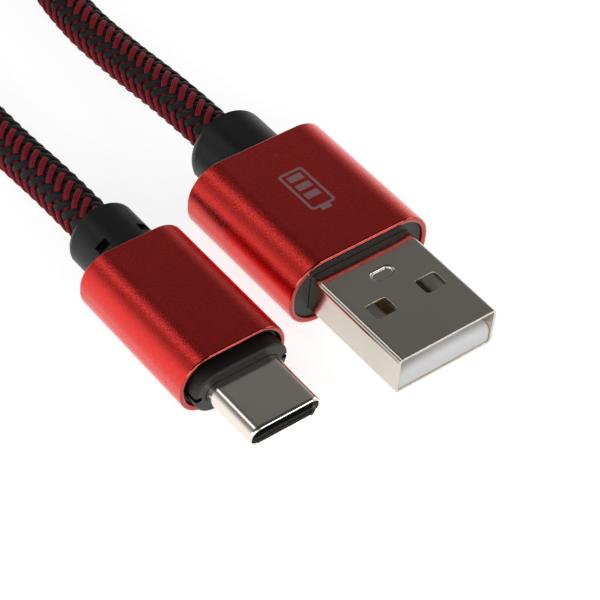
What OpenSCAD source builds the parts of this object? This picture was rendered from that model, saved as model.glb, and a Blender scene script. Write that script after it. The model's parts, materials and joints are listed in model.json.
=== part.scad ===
// Braided charging cable: a type-A plug and a type-C plug in red aluminium sleeves,
// lying side by side, with the spare cord wound into a flat two-layer coil behind them.
// Millimetres. +X points the way the plugs go in, +Z is up, and z = 0 is the surface
// that both sleeves and the cord lie on.

/* [Layout] */
// Distance between the centre lines of the two plugs
plug_pitch = 17.5; // [16:0.1:24]
// How far the type-C tip lies behind the type-A tip
c_setback = 1.8; // [0:0.1:5]
// Clearance between neighbouring moulded and pressed pieces
fit_gap = 0.05; // [0.02:0.01:0.08]

/* [Cord] */
// Outside diameter of the braided cord
cord_d = 4.8; // [4:0.1:5]
// Radius at the middle of the coil's turns
coil_mean_r = 27; // [25:0.5:29]
// Gap between a turn of the coil and those beside it and on it
coil_gap = 0.5; // [0.45:0.05:1]
// Diameter of one insulated wire inside the cord
wire_d = 0.85; // [0.7:0.05:0.9]
// Distance between the wires where they leave the cord
wire_pitch = 1.2; // [1.15:0.05:1.6]

/* [Type-A plug] */
// Width of the pressed steel shell
a_shell_w = 12.0; // [11.8:0.05:12.2]
// Height of the shell
a_shell_h = 4.5; // [4.4:0.05:4.6]
// Sheet thickness of the shell
a_shell_wall = 0.3; // [0.25:0.01:0.35]
// Outside radius of the shell's long corners
a_shell_corner = 0.55; // [0.5:0.05:1]
// Length of shell in front of the sleeve's rim
a_shell_out = 12.9; // [11.75:0.05:13.5]
// Length of shell held inside the sleeve
a_shell_in = 5.2; // [4.8:0.1:6]
// Width of each latch window
a_window_w = 2.5; // [2:0.1:3]
// Length of each latch window
a_window_l = 2.0; // [1.6:0.1:2.4]
// Distance between the two windows of a side, centre to centre
a_window_pitch = 6.1; // [5.4:0.1:6.6]
// Distance from the tip to a window's front edge
a_window_set = 5.25; // [4.8:0.05:5.8]
// Corner radius of a window
a_window_round = 0.3; // [0.1:0.05:0.5]
// Length across of the dimple pressed into the top
a_dimple_w = 2.6; // [2:0.1:3.2]
// Width along the plug of the dimple
a_dimple_l = 1.4; // [1:0.1:1.8]
// Depth of the dimple
a_dimple_depth = 0.22; // [0.1:0.01:0.25]
// Distance from the mouth's end to the dimple's centre
a_dimple_set = 1.65; // [1.2:0.05:2.4]
// Height of the white tongue above the shell's floor
a_tongue_h = 1.85; // [1.7:0.05:1.95]
// Distance from the tip to the tongue's front face
a_tongue_set = 0.2; // [0.1:0.05:0.6]
// Radius of the tongue's front top edge
a_tongue_round = 0.8; // [0.4:0.1:1.2]
// Depth of the mouth above the tongue
a_mouth_l = 11.4; // [10.5:0.1:12]
// Width of one contact blade
a_contact_w = 1.0; // [0.8:0.05:1.1]
// Thickness of a contact blade
a_contact_t = 0.25; // [0.2:0.01:0.3]
// Distance between the two outer contacts, centre to centre
a_power_pitch = 7.0; // [6.8:0.1:7.2]
// Distance between the two inner contacts, centre to centre
a_data_pitch = 2.0; // [1.9:0.1:2.2]
// Distance from the tip to the outer contacts' ends
a_power_set = 1.5; // [1.3:0.1:2.2]
// Distance from the tip to the inner contacts' ends
a_data_set = 2.6; // [2.3:0.1:3.4]
// Width of the slot that a contact lies in
a_slot_w = 1.5; // [1.3:0.05:1.7]

/* [Type-A sleeve] */
// Width of the aluminium sleeve
a_sleeve_w = 17.0; // [16.4:0.1:18]
// Height of the sleeve
a_sleeve_h = 8.0; // [7.8:0.1:9]
// Length of the sleeve
a_sleeve_l = 16.8; // [16:0.1:19]
// Radius of the sleeve's long corners
a_sleeve_corner = 3.7; // [3:0.1:3.8]
// Wall of the sleeve
a_sleeve_wall = 0.6; // [0.45:0.05:0.7]
// Depth of the black face behind the sleeve's rim
a_rim_recess = 0.3; // [0.1:0.05:0.8]
// Thickness of the black front bezel
a_bezel_t = 2.0; // [1.5:0.1:2.4]
// Thickness of the bezel in front of the inner mould's nose
a_bezel_front = 0.6; // [0.4:0.05:0.9]
// Wall of the front bezel above and below the inner mould's nose
a_bezel_wall = 0.5; // [0.4:0.05:0.7]

/* [Type-A strain relief] */
// Width of the relief behind the sleeve
a_relief_w = 9.0; // [8.6:0.1:10]
// Step down from the sleeve to the relief, above and below
a_relief_step = 0.4; // [0.2:0.05:0.7]
// Length of the relief behind the sleeve
a_relief_l = 6.1; // [5:0.1:9]

/* [Type-C plug] */
// Width of the drawn steel shell
c_shell_w = 8.25; // [8.15:0.01:8.35]
// Height of the shell
c_shell_h = 2.4; // [2.36:0.01:2.5]
// Wall of the shell
c_shell_wall = 0.22; // [0.18:0.01:0.25]
// Radius of the shell's rolled front edge
c_lip_round = 0.18; // [0.1:0.01:0.2]
// Length of shell in front of the black collar
c_shell_out = 6.65; // [6.2:0.05:7]
// Length of shell held behind the collar's face
c_shell_in = 4.4; // [4.3:0.1:4.8]
// Wall of the insulator at each end of the slot for the socket's tongue
c_core_side = 0.43; // [0.38:0.01:0.48]
// Wall of the insulator above and below the slot
c_core_roof = 0.455; // [0.43:0.005:0.48]
// Depth of the slot
c_mouth_l = 6.3; // [5.8:0.1:6.6]
// Thickness of the insulator behind the slot
c_core_back = 2.3; // [1.8:0.1:2.6]
// Distance from the shell's rolled edge to the insulator's front face
c_core_set = 0.1; // [0.05:0.05:0.4]
// Distance between neighbouring contacts
c_pin_pitch = 0.5; // [0.49:0.01:0.51]
// Width of one contact
c_pin_w = 0.25; // [0.2:0.01:0.28]
// Thickness of one contact
c_pin_t = 0.15; // [0.12:0.01:0.18]
// Thickness of the steel latch plate
c_latch_t = 0.25; // [0.2:0.01:0.3]
// Thickness of the ground springs
c_spring_t = 0.08; // [0.05:0.01:0.09]
// Width of a ground spring
c_spring_w = 5.2; // [4.4:0.1:5.8]
// Length of a ground spring
c_spring_l = 3.2; // [2.4:0.1:4]
// Distance from the tip to the ground springs
c_spring_set = 1.6; // [1.2:0.1:2.2]

/* [Type-C board] */
// Gap between the circuit board and the shell at each side
c_board_side = 0.3; // [0.2:0.05:0.6]
// Thickness of the circuit board
c_board_t = 0.8; // [0.75:0.05:0.85]
// Length of the circuit board
c_board_l = 6.9; // [6.6:0.1:7.4]
// Distance between neighbouring wire pads
c_pad_pitch = 1.6; // [1.5:0.1:1.8]
// Length across of the pull-up resistor
resistor_l = 1.0; // [0.6:0.1:1.6]
// Width of the resistor
resistor_w = 0.5; // [0.3:0.05:0.8]
// Height of the resistor
resistor_h = 0.35; // [0.25:0.05:0.5]
// Distance of the resistor from the plug's centre line
resistor_x = 1.8; // [1:0.1:2.4]
// Distance from the board's front edge to the resistor
resistor_set = 2.7; // [2.2:0.1:4]

/* [Type-C sleeve] */
// Width of the aluminium sleeve
c_sleeve_w = 12.0; // [11.8:0.1:13]
// Height of the sleeve
c_sleeve_h = 7.0; // [6.9:0.1:8]
// Length of the sleeve
c_sleeve_l = 16.55; // [16:0.05:19]
// Radius of the sleeve's long corners
c_sleeve_corner = 3.2; // [2.6:0.1:3.4]
// Wall of the sleeve
c_sleeve_wall = 0.55; // [0.45:0.05:0.6]
// Step from the collar's base to the collar at each end
c_collar_side = 0.1; // [0.05:0.05:0.3]
// Step from the collar's base to the collar, above and below
c_collar_top = 0.45; // [0.3:0.05:0.7]
// Length of the collar in front of the rim
c_collar_out = 1.3; // [0.8:0.05:1.8]
// Height of the notch in each end of the collar
c_notch_h = 0.5; // [0.3:0.05:0.8]
// Depth of the notch in each end of the collar
c_notch_l = 0.7; // [0.4:0.05:0.85]
// Depth of the collar's base behind the sleeve's rim
c_rim_recess = 0.6; // [0.3:0.05:0.9]
// Thickness of the collar's base
c_base_t = 1.9; // [1.6:0.1:2]

/* [Type-C strain relief] */
// Width of the relief behind the sleeve
c_relief_w = 7.6; // [7.2:0.1:9]
// Step down from the sleeve to the relief, above and below
c_relief_step = 0.3; // [0.2:0.05:0.5]
// Length of the relief behind the sleeve
c_relief_l = 5.9; // [5:0.1:9]
// Width of one flex slot in the relief
c_slot_w = 1.2; // [0.8:0.1:1.6]
// Length of one flex slot in the relief
c_slot_l = 1.0; // [0.6:0.1:1.4]
// Depth of one flex slot below the top of the relief
c_slot_depth = 1.1; // [0.6:0.05:1.2]
// Distance between the two flex slots of a side, centre to centre
c_slot_pitch = 4.7; // [3.8:0.1:4.8]
// Distance from the sleeve to a flex slot's centre
c_slot_set = 1.4; // [1.2:0.1:2.6]

/* [Hidden] */
$fn = 64;
EPS = 0.01;

RED = [0.62, 0.06, 0.06];
NICKEL = [0.72, 0.70, 0.66];
BLACK = [0.06, 0.06, 0.06];
WHITE = [0.93, 0.94, 0.95];
GOLD = [0.83, 0.66, 0.33];
TIN = [0.75, 0.76, 0.78];
BRAID = [0.30, 0.05, 0.08];

// Depths along each plug, measured back from its tip
joint_gap = 0.2;
a_core_short = 1.1;
a_joint_l = 1.1;
a_flange_l = 2.1;
a_jacket_grip = 1.9;
a_face = a_shell_out + a_rim_recess;
a_shell_end = a_shell_out + a_shell_in;
a_core_end = a_shell_end - a_core_short;
a_joint_start = a_shell_end + joint_gap;
a_tail_end = a_joint_start + a_joint_l;
a_sleeve_end = a_shell_out + a_sleeve_l;
a_mould_end = a_sleeve_end - a_flange_l;
a_jacket = a_mould_end - a_jacket_grip;
a_len = a_sleeve_end + a_relief_l;

c_latch_room = 0.7;
c_pin_foot_l = 1.1;
c_joint_l = 1.4;
c_flange_l = 1.6;
c_jacket_grip = 1.0;
c_rim = c_shell_out + c_collar_out;
c_base_start = c_rim + c_rim_recess;
c_base_end = c_base_start + c_base_t;
c_shell_end = c_shell_out + c_shell_in;
c_core_end = c_mouth_l + c_core_back;
c_board_start = c_core_end + c_latch_room;
c_board_end = c_board_start + c_board_l;
c_joint_start = c_board_end - c_joint_l;
c_sleeve_end = c_rim + c_sleeve_l;
c_mould_end = c_sleeve_end - c_flange_l;
c_jacket = c_mould_end - c_jacket_grip;
c_len = c_sleeve_end + c_relief_l;

// Places of the two plugs: the middle of the pair stands at the origin
total_l = max(a_len, c_setback + c_len);
total_w = a_sleeve_w / 2 + plug_pitch + c_sleeve_w / 2;
a_tip_x = total_l / 2;
c_tip_x = a_tip_x - c_setback;
a_y = total_w / 2 - a_sleeve_w / 2;
c_y = c_sleeve_w / 2 - total_w / 2;
a_z = a_sleeve_h / 2;
c_z = c_sleeve_h / 2;

// Type-A: heights from the plug's centre line
a_inner_w = a_shell_w - 2 * a_shell_wall;
a_inner_h = a_shell_h - 2 * a_shell_wall;
a_floor = -a_inner_h / 2;
a_tongue_top = a_floor + a_tongue_h;
a_contact_proud = 0.05;
a_seat = a_tongue_top + a_contact_proud - a_contact_t;
a_contact_top = a_tongue_top + a_contact_proud;
a_power_x = [-a_power_pitch / 2, a_power_pitch / 2];
a_data_x = [-a_data_pitch / 2, a_data_pitch / 2];
a_contact_x = [a_power_x[0], a_data_x[0], a_data_x[1], a_power_x[1]];
a_sleeve_r = min(a_sleeve_corner, a_sleeve_h / 2);
a_hold_w = a_sleeve_w - 2 * a_sleeve_wall - 2 * fit_gap;
a_hold_h = a_sleeve_h - 2 * a_sleeve_wall - 2 * fit_gap;
a_hold_r = a_sleeve_r - a_sleeve_wall - fit_gap;
a_nose_start = a_face + a_bezel_front + fit_gap;
a_nose_h = a_hold_h - 2 * (a_bezel_wall + fit_gap);
a_nose_wall = (a_nose_h - a_shell_h) / 2;
a_nose_w = a_shell_w + 2 * a_nose_wall;
a_nose_r = a_shell_corner + a_nose_wall;
a_wire_lead = 1.0;
a_relief_h = a_sleeve_h - 2 * a_relief_step;

// Type-C: heights from the plug's centre line
c_inner_w = c_shell_w - 2 * c_shell_wall;
c_inner_h = c_shell_h - 2 * c_shell_wall;
c_core_w = c_inner_w - 2 * fit_gap;
c_core_h = c_inner_h - 2 * fit_gap;
c_mouth_w = c_core_w - 2 * c_core_side;
c_mouth_h = c_core_h - 2 * c_core_roof;
c_board_w = c_inner_w - 2 * c_board_side;
c_board_top = c_board_t / 2;
c_pins = 12;
c_upper_pins = [1, 4, 5, 6, 7, 9, 12];
c_lower_pins = [1, 4, 9, 12];
c_pin_set = 1.3;
c_pin_rise = 0.6;
c_pin_ramp = 0.2;
c_pin_bump = 0.075;
c_pin_sink = 0.085;
c_groove_gap = 0.03;
c_wire_lead = 0.8;
c_pad_x = [for (i = [-1.5:1:1.5]) i * c_pad_pitch];
c_sleeve_r = min(c_sleeve_corner, c_sleeve_h / 2);
c_hold_w = c_sleeve_w - 2 * c_sleeve_wall - 2 * fit_gap;
c_hold_h = c_sleeve_h - 2 * c_sleeve_wall - 2 * fit_gap;
c_hold_r = c_sleeve_r - c_sleeve_wall - fit_gap;
c_collar_w = c_hold_w - 2 * c_collar_side;
c_collar_h = c_hold_h - 2 * c_collar_top;
c_relief_h = c_sleeve_h - 2 * c_relief_step;
c_latch_out = c_mouth_w / 2 + 0.15;
c_latch_in = c_mouth_w / 2 - 0.1;
c_latch_hook = c_mouth_w / 2 - 0.35;
c_latch_set = 1.1;
c_latch_hook_l = 0.4;
c_latch_bridge_l = 0.5;

// Details that both plugs share
rim_bevel = 0.16;
back_bevel = 0.24;
joint_d = 0.95;
joint_lift = 0.15;

// ---------------------------------------------------------------- shared shapes

// Local frame of a plug: x across it, y up, z the depth behind its tip
module in_type_a() {
    translate([a_tip_x, a_y, a_z]) rotate([90, 0, -90]) children();
}

module in_type_c() {
    translate([c_tip_x, c_y, c_z]) rotate([90, 0, -90]) children();
}

// Rectangle with round corners, about the centre
module rounded(w, h, r) {
    square([w - 2 * r, h], center = true);
    if (h > 2 * r + EPS) square([w, h - 2 * r], center = true);
    for (x = [-1, 1], y = [-1, 1])
        translate([x * (w / 2 - r), y * (h / 2 - r)]) circle(r);
}

// Rectangle with half-round ends, about the centre
module pill(w, h) {
    square([w - h, h], center = true);
    for (x = [-1, 1]) translate([x * (w - h) / 2, 0]) circle(d = h);
}

// Straight bar of the outline in 2D, between two depths
module bar(from, to) {
    translate([0, 0, from]) linear_extrude(to - from) children();
}

// Block given by its lowest and highest x, y and z
module block(x, y, z) {
    translate([x[0], y[0], z[0]]) cube([x[1] - x[0], y[1] - y[0], z[1] - z[0]]);
}

// Carries a wall's profile round a rounded rectangle. The profile's x is the
// distance from the centre of a corner, and its y is the depth.
module carried_round(w, h, r) {
    corners = [[1, 1], [-1, 1], [-1, -1], [1, -1]];
    for (i = [0:3])
        translate([corners[i][0] * (w / 2 - r), corners[i][1] * (h / 2 - r), 0])
            rotate(90 * i) rotate_extrude(angle = 90) children();
    for (side = [0, 180]) {
        if (h > 2 * r + EPS)
            rotate(side) translate([w / 2 - r, h / 2 - r, 0])
                rotate([90, 0, 0]) linear_extrude(h - 2 * r) children();
        if (w > 2 * r + EPS)
            rotate(side + 90) translate([h / 2 - r, w / 2 - r, 0])
                rotate([90, 0, 0]) linear_extrude(w - 2 * r) children();
    }
}

// Profile of a wall with its front and back edges broken
module edged_wall(r, wall, from, to, front, back) {
    polygon([
        [r - wall, from + front / 2], [r - wall + front / 2, from],
        [r - front, from], [r, from + front],
        [r, to - back], [r - back, to],
        [r - wall + back / 2, to], [r - wall, to - back / 2]
    ]);
}

function ease(s) = s * s * (3 - 2 * s);
function unit(v) = v / norm(v);

// Direction of a path at one of its points, between its first and last directions
function heading(path, i, first, last) = i == 0 ? first
    : i == len(path) - 1 ? last
    : unit(unit(path[i + 1] - path[i]) + unit(path[i] - path[i - 1]));

// One ring of a tube, square to the path, with its first corner square to side
function ring(centre, dir, side, sides, r) = let (
    across = unit(cross(side, dir)),
    up = cross(dir, across)
) [for (k = [0:sides - 1])
    centre + r * (across * cos(360 * k / sides) + up * sin(360 * k / sides))];

// Tube swept along a path, in triangles
module tube(path, d, sides, side, first, last) {
    n = len(path);
    points = [for (i = [0:n - 1])
        each ring(path[i], heading(path, i, first, last), side, sides, d / 2)];
    wall = [for (i = [0:n - 2], k = [0:sides - 1]) let (
        a = i * sides + k, b = i * sides + (k + 1) % sides
    ) each [[a, a + sides, b], [b, a + sides, b + sides]]];
    last_ring = (n - 1) * sides;
    caps = [for (k = [1:sides - 2]) each [
        [0, k, k + 1], [last_ring, last_ring + k + 1, last_ring + k]
    ]];
    polyhedron(points = points, faces = concat(wall, caps));
}

// Insulated wire: straight out of its joint, across in an S, and straight into the cord
module wire(start, end, lead, d) {
    steps = 6;
    run = end[2] - start[2] - 2 * lead;
    bend = [for (i = [0:steps]) let (e = ease(i / steps))
        [start[0] + (end[0] - start[0]) * e, start[1] + (end[1] - start[1]) * e,
         start[2] + lead + run * i / steps]];
    tube([start, each bend, end], d, 8, [0, 1, 0], [0, 0, 1], [0, 0, 1]);
}

// Where a wire enters the cord: the four lie in a square, in the order of their pads
function bundle(i) = wire_pitch / 2 * [i < 2 ? -1 : 1, i == 0 || i == 3 ? -1 : 1];

module wire_set(pads, y, from, to, lead, d) {
    for (i = [0:3])
        wire([pads[i], y, from], [bundle(i)[0], bundle(i)[1], to], lead, d);
}

// Loaf of solder on a flat pad whose top is at height y
module solder_joint(x, y, from, to, grow) {
    intersection() {
        translate([x, y + joint_lift, from - grow])
            cylinder(d = joint_d + 2 * grow, h = to - from + 2 * grow);
        block([x - 1, x + 1], [y, y + 1], [from - 1, to + 1]);
    }
}

// Round-ended relief: a turned dome with flats above and below
module relief_body(w, h, from, to) {
    dome_r = (w - cord_d) / 2 - fit_gap;
    intersection() {
        bar(from, to) pill(w, h);
        translate([0, 0, from]) rotate_extrude() {
            square([w / 2, to - from - dome_r]);
            square([w / 2 - dome_r, to - from]);
            translate([w / 2 - dome_r, to - from - dome_r]) circle(dome_r);
        }
    }
}

// ------------------------------------------------------------------ Type-A pieces

module type_a_sleeve() {
    color(RED) in_type_a()
        carried_round(a_sleeve_w, a_sleeve_h, a_sleeve_r)
            edged_wall(a_sleeve_r, a_sleeve_wall, a_shell_out, a_sleeve_end,
                       rim_bevel, back_bevel);
}

// Folded shell with its latch windows, its pressed dimple and the seam underneath
module type_a_shell() {
    seam_w = 0.08;
    top = a_shell_h / 2;
    dimple = a_mouth_l - a_dimple_set;
    color(NICKEL) in_type_a() {
        difference() {
            carried_round(a_shell_w, a_shell_h, a_shell_corner)
                edged_wall(a_shell_corner, a_shell_wall, 0, a_shell_end, 0.1, 0.04);
            for (x = [-1, 1])
                translate([x * a_window_pitch / 2, 0, a_window_set + a_window_l / 2])
                    rotate([90, 0, 0]) linear_extrude(a_shell_h + 1, center = true)
                        rounded(a_window_w, a_window_l, a_window_round);
            translate([0, top + EPS, dimple]) rotate([90, 0, 0])
                linear_extrude(a_dimple_depth + EPS) pill(a_dimple_w, a_dimple_l);
            block([-seam_w / 2, seam_w / 2], [-top - 1, -a_inner_h / 2 + EPS],
                  [-1, a_shell_end + 1]);
        }
        translate([0, a_inner_h / 2 + EPS, dimple]) rotate([90, 0, 0])
            linear_extrude(a_dimple_depth + EPS) pill(a_dimple_w, a_dimple_l);
    }
}

// White tongue with its rear block, and a slot for each contact
module type_a_insulator() {
    side = a_inner_w / 2 - fit_gap;
    color(WHITE) in_type_a() difference() {
        intersection() {
            bar(a_tongue_set, a_core_end)
                rounded(2 * side, a_inner_h, a_shell_corner - a_shell_wall);
            union() {
                block([-side, side], [a_floor, a_tongue_top - a_tongue_round],
                      [a_tongue_set, a_mouth_l]);
                block([-side, side], [a_floor, a_tongue_top],
                      [a_tongue_set + a_tongue_round, a_mouth_l]);
                translate([-side, a_tongue_top - a_tongue_round,
                           a_tongue_set + a_tongue_round])
                    rotate([0, 90, 0]) cylinder(r = a_tongue_round, h = 2 * side);
                block([-side, side], [a_floor, a_inner_h / 2 - fit_gap],
                      [a_mouth_l, a_core_end]);
            }
        }
        for (x = a_power_x) type_a_slot(x, a_power_set);
        for (x = a_data_x) type_a_slot(x, a_data_set);
    }
}

module type_a_slot(x, tip) {
    half = a_slot_w / 2;
    pass = a_contact_w / 2 + fit_gap;
    block([x - half, x + half], [a_seat, a_tongue_top + 1], [tip - 0.2, a_mouth_l]);
    block([x - pass, x + pass], [a_seat, a_contact_top + fit_gap],
          [a_mouth_l - EPS, a_core_end + 1]);
}

// Contact blade with its nose turned down at the tip
module type_a_contact(x, tip, grow) {
    half = a_contact_w / 2 + grow;
    nose = a_contact_t / 2;
    block([x - half, x + half], [a_seat - grow, a_contact_top + grow],
          [tip + nose, a_tail_end + grow]);
    translate([x - half, a_seat + nose, tip + nose])
        rotate([0, 90, 0]) cylinder(r = nose, h = 2 * half);
}

module type_a_power_contacts() {
    color(GOLD) in_type_a() for (x = a_power_x) type_a_contact(x, a_power_set, 0);
}

module type_a_data_contacts() {
    color(GOLD) in_type_a() for (x = a_data_x) type_a_contact(x, a_data_set, 0);
}

module type_a_shell_hole() {
    bar(a_face - 1, a_shell_end + fit_gap)
        rounded(a_shell_w + 2 * fit_gap, a_shell_h + 2 * fit_gap, a_shell_corner + fit_gap);
}

// Black ring that closes the sleeve's mouth, stepped so that it hides the mould's nose
module type_a_front_bezel() {
    color(BLACK) in_type_a() difference() {
        bar(a_face, a_face + a_bezel_t) rounded(a_hold_w, a_hold_h, a_hold_r);
        type_a_shell_hole();
        bar(a_nose_start - fit_gap, a_face + a_bezel_t + 1)
            rounded(a_nose_w + 2 * fit_gap, a_nose_h + 2 * fit_gap, a_nose_r + fit_gap);
    }
}

// Inner mould: its nose grips the shell, its back grips the cord's end
module type_a_inner_mould() {
    color([0.16, 0.16, 0.17]) in_type_a() difference() {
        union() {
            bar(a_nose_start, a_face + a_bezel_t + 1) rounded(a_nose_w, a_nose_h, a_nose_r);
            bar(a_face + a_bezel_t + fit_gap, a_mould_end)
                rounded(a_hold_w, a_hold_h, a_hold_r);
        }
        type_a_shell_hole();
        for (x = a_contact_x) {
            type_a_contact(x, a_core_end, fit_gap);
            solder_joint(x, a_contact_top, a_joint_start, a_tail_end, fit_gap);
        }
        type_a_wire_set(2 * fit_gap);
        translate([0, 0, a_jacket])
            cylinder(d = cord_d + 2 * fit_gap, h = a_mould_end - a_jacket + 1);
    }
}

module type_a_solder_joints() {
    color(TIN) in_type_a() for (x = a_contact_x)
        solder_joint(x, a_contact_top, a_joint_start, a_tail_end, 0);
}

module type_a_wire_set(grow) {
    wire_set(a_contact_x, a_contact_top + joint_lift, a_tail_end, a_jacket,
             a_wire_lead, wire_d + grow);
}

module type_a_wires() {
    color([0.75, 0.2, 0.15]) in_type_a() type_a_wire_set(0);
}

module type_a_strain_relief() {
    color(BLACK) in_type_a() difference() {
        union() {
            bar(a_mould_end + fit_gap, a_sleeve_end) rounded(a_hold_w, a_hold_h, a_hold_r);
            relief_body(a_relief_w, a_relief_h, a_sleeve_end, a_len);
        }
        translate([0, 0, a_mould_end - 1])
            cylinder(d = cord_d + 2 * fit_gap, h = a_len - a_mould_end + 2);
    }
}

// ------------------------------------------------------------------ Type-C pieces

module type_c_sleeve() {
    color(RED) in_type_c()
        carried_round(c_sleeve_w, c_sleeve_h, c_sleeve_r)
            edged_wall(c_sleeve_r, c_sleeve_wall, c_rim, c_sleeve_end,
                       rim_bevel, back_bevel);
}

// Drawn shell whose front edge is rolled over
module type_c_shell() {
    r = c_shell_h / 2;
    color(NICKEL) in_type_c() carried_round(c_shell_w, c_shell_h, r) {
        translate([r - c_shell_wall, 0]) square([c_shell_wall - c_lip_round, c_shell_end]);
        translate([r - c_shell_wall, c_lip_round])
            square([c_shell_wall, c_shell_end - c_lip_round]);
        translate([r - c_lip_round, c_lip_round]) circle(c_lip_round);
    }
}

function c_pin_x(pin) = (pin - (c_pins + 1) / 2) * c_pin_pitch;

// Side view of one contact: a sprung bump at the front and a flat foot on the board
function c_pin_side(t) = let (
    low = c_mouth_h / 2 - c_pin_bump,
    flat = c_mouth_h / 2 + c_pin_sink,
    tip = c_pin_set,
    bump = c_pin_set + c_pin_rise,
    rest = c_pin_set + 2 * c_pin_rise,
    bend = c_core_end - c_pin_ramp,
    drop = c_core_end + c_pin_ramp,
    foot = c_board_start + c_pin_foot_l
) [
    [tip, flat], [bump, low], [rest, flat], [bend, flat],
    [drop, c_board_top], [foot, c_board_top],
    [foot, c_board_top + t], [drop + t / 3, c_board_top + t],
    [bend + t / 3, flat + t], [rest, flat + t], [bump, low + t], [tip, flat + t]
];

module type_c_pin(pin) {
    translate([c_pin_x(pin) + c_pin_w / 2, 0, 0]) rotate([0, -90, 0])
        linear_extrude(c_pin_w) polygon(c_pin_side(c_pin_t));
}

// Groove for one contact in the insulator's roof, and its way out at the back
module type_c_groove(pin) {
    half = c_pin_w / 2 + c_groove_gap;
    x = c_pin_x(pin);
    top = c_mouth_h / 2 + c_pin_sink + c_pin_t + fit_gap;
    block([x - half, x + half], [0, top], [c_pin_set - c_pin_rise / 2, c_mouth_l]);
    block([x - half, x + half], [c_board_top, top], [c_mouth_l - EPS, c_core_end + 1]);
}

// Black core with the slot for the socket's tongue
module type_c_insulator() {
    side = c_mouth_w / 2;
    spring_y = c_core_h / 2 - c_spring_t;
    color([0.03, 0.03, 0.035]) in_type_c() difference() {
        bar(2 * c_lip_round + c_core_set, c_core_end) pill(c_core_w, c_core_h);
        block([-side, side], [-c_mouth_h / 2, c_mouth_h / 2], [-1, c_mouth_l]);
        for (pin = c_upper_pins) type_c_groove(pin);
        for (pin = c_lower_pins) mirror([0, 1, 0]) type_c_groove(pin);
        for (side = [0, 1]) mirror([side, 0, 0])
            block([c_latch_in - fit_gap, c_latch_out + fit_gap],
                  [-c_latch_t / 2 - fit_gap, c_latch_t / 2 + fit_gap],
                  [c_latch_set - 0.2, c_core_end + 1]);
        for (side = [0, 1]) mirror([0, side, 0])
            block([-c_spring_w / 2 - fit_gap, c_spring_w / 2 + fit_gap],
                  [spring_y, c_core_h],
                  [c_spring_set - fit_gap, c_spring_set + c_spring_l + fit_gap]);
    }
}

module type_c_upper_contacts() {
    color(GOLD) in_type_c() for (pin = c_upper_pins) type_c_pin(pin);
}

module type_c_lower_contacts() {
    color(GOLD) in_type_c() for (pin = c_lower_pins) mirror([0, 1, 0]) type_c_pin(pin);
}

// Stamped latch plate: two hooked arms joined behind the insulator
module type_c_latch_plate() {
    bridge = c_core_end + fit_gap;
    hook = c_latch_set + c_latch_hook_l / 2;
    arm = [
        [c_latch_in, bridge], [c_latch_in, c_latch_set + 2.75 * c_latch_hook_l],
        [c_latch_hook, hook + c_latch_hook_l], [c_latch_hook, hook],
        [c_latch_in, c_latch_set], [c_latch_out, c_latch_set],
        [c_latch_out, bridge + c_latch_bridge_l]
    ];
    other_arm = [for (i = [len(arm) - 1:-1:0]) [-arm[i][0], arm[i][1]]];
    color(NICKEL) in_type_c() translate([0, c_latch_t / 2, 0]) rotate([90, 0, 0])
        linear_extrude(c_latch_t) polygon(concat(arm, other_arm));
}

// Two thin springs between the insulator and the shell, each with slit fingers
module type_c_ground_springs() {
    outer = c_core_h / 2;
    slit = 0.25;
    root = 0.8;
    color(NICKEL) in_type_c() for (y = [0, 1]) mirror([0, y, 0]) difference() {
        block([-c_spring_w / 2, c_spring_w / 2], [outer - c_spring_t, outer],
              [c_spring_set, c_spring_set + c_spring_l]);
        for (i = [-1, 0, 1])
            block([i * c_spring_w / 4 - slit / 2, i * c_spring_w / 4 + slit / 2],
                  [0, outer + 1], [c_spring_set - 1, c_spring_set + c_spring_l - root]);
    }
}

// Black moulding: a base inside the sleeve and a notched collar in front of it
module type_c_collar() {
    round_r = 0.25;
    r = c_collar_h / 2;
    end = c_collar_w / 2;
    color(BLACK) in_type_c() difference() {
        union() {
            carried_round(c_collar_w, c_collar_h, r) {
                translate([0, c_shell_out])
                    square([r - round_r, c_base_start - c_shell_out + 1]);
                translate([0, c_shell_out + round_r])
                    square([r, c_base_start - c_shell_out - round_r + 1]);
                translate([r - round_r, c_shell_out + round_r]) circle(round_r);
            }
            bar(c_base_start, c_base_end) rounded(c_hold_w, c_hold_h, c_hold_r);
        }
        bar(c_shell_out - 1, c_base_end + 1)
            pill(c_shell_w + 2 * fit_gap, c_shell_h + 2 * fit_gap);
        for (side = [0, 1]) mirror([side, 0, 0])
            block([end - c_notch_l, end + 1], [-c_notch_h / 2, c_notch_h / 2],
                  [c_shell_out - 1, c_base_start]);
    }
}

module type_c_board() {
    color([0.05, 0.25, 0.12]) in_type_c()
        block([-c_board_w / 2, c_board_w / 2], [-c_board_t / 2, c_board_t / 2],
              [c_board_start, c_board_end]);
}

// Pull-up resistor, a small chip on the upper side of the board
module type_c_resistor_body(grow) {
    from = c_board_start + resistor_set;
    block([resistor_x - resistor_l / 2 - grow, resistor_x + resistor_l / 2 + grow],
          [c_board_top, c_board_top + resistor_h + grow],
          [from - grow, from + resistor_w + grow]);
}

module type_c_resistor() {
    color([0.12, 0.12, 0.13]) in_type_c() type_c_resistor_body(0);
}

module type_c_solder_joints() {
    color(TIN) in_type_c() for (x = c_pad_x)
        solder_joint(x, c_board_top, c_joint_start, c_board_end, 0);
}

module type_c_wire_set(grow) {
    wire_set(c_pad_x, c_board_top + joint_lift, c_board_end, c_jacket,
             c_wire_lead, wire_d + grow);
}

module type_c_wires() {
    color([0.75, 0.2, 0.15]) in_type_c() type_c_wire_set(0);
}

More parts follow.
